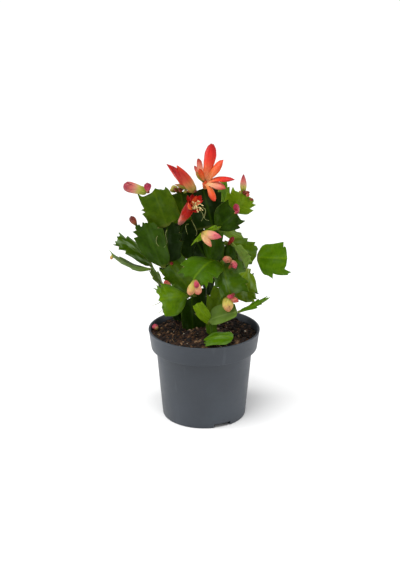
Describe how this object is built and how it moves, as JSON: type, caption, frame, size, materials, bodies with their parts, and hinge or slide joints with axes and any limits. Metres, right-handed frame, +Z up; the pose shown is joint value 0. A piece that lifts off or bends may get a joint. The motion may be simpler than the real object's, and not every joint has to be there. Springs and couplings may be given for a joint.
{
  "type": "potted christmas cactus",
  "caption": "Flowering christmas cactus of flat toothed stem joints with buds and open blooms, growing in soil in a round nursery pot.",
  "frame": {"origin": "centre of the pot's underside, on the surface it stands on", "axes": "+Z up; +Y away from the viewed front; +X to the right of the viewed front"},
  "size_m": [0.1677, 0.105, 0.2622],
  "materials": {
    "pot_plastic": "satin",
    "soil_peat": "matte",
    "stem_dark": "satin",
    "stem_mid": "satin",
    "stem_bright": "satin",
    "stem_pale": "satin",
    "flower_orange": "satin",
    "flower_red": "satin",
    "stamen_cream": "matte",
    "bud_pink": "satin",
    "bud_orange": "satin",
    "bud_cream": "satin"
  },
  "bodies": {
    "root": {"pot": "pot_plastic", "soil": "soil_peat", "stem_left_base": "stem_dark", "stem_left_middle": "stem_mid", "stem_left_low": "stem_bright", "stem_left_high": "stem_dark", "stem_left_inner": "stem_dark", "stem_left_crown": "stem_mid", "stem_left_back": "stem_dark", "stem_left_rear_crown": "stem_mid", "stem_rear_left_base": "stem_dark", "stem_far_left_stalk": "stem_pale", "stem_far_left_up": "stem_mid", "stem_far_left_low": "stem_pale", "stem_rear_left": "stem_dark", "stem_front_base": "stem_dark", "stem_front_rest": "stem_bright", "stem_front_left": "stem_bright", "stem_front_right": "stem_pale", "stem_front_right_tip": "stem_bright", "stem_right_low": "stem_mid", "stem_right_middle": "stem_dark", "stem_front_bright": "stem_bright", "stem_right_front": "stem_mid", "stem_right_rear": "stem_dark", "stem_centre_right": "stem_dark", "stem_right_over": "stem_mid", "stem_right_pale": "stem_pale", "stem_right_droop": "stem_mid", "stem_far_right": "stem_bright", "stem_centre_low": "stem_dark", "stem_centre_middle": "stem_dark", "stem_centre_high": "stem_pale", "stem_toward": "stem_bright", "stem_right_dark": "stem_dark", "stem_right_arch": "stem_mid", "stem_centre_rear": "stem_dark", "stem_centre_dark": "stem_dark", "stem_rear_right": "stem_dark", "stem_rear_strip": "stem_bright", "stem_right_crown": "stem_bright", "buds_left_crown": "bud_pink", "bud_left_high": "bud_orange", "buds_rear_crown": "bud_cream", "buds_right_crown": "bud_cream", "bud_right_dark": "bud_pink", "buds_toward": "bud_cream", "buds_right_middle": "bud_orange", "bud_centre_right": "bud_pink", "buds_rear_left": "bud_orange", "buds_front_bright": "bud_cream", "buds_right_front": "bud_cream", "bud_fallen": "bud_pink", "flower_open": "flower_orange", "flower_half_open": "flower_red", "flower_drooping": "flower_red", "stamens": "stamen_cream"}
  },
  "joints": []
}
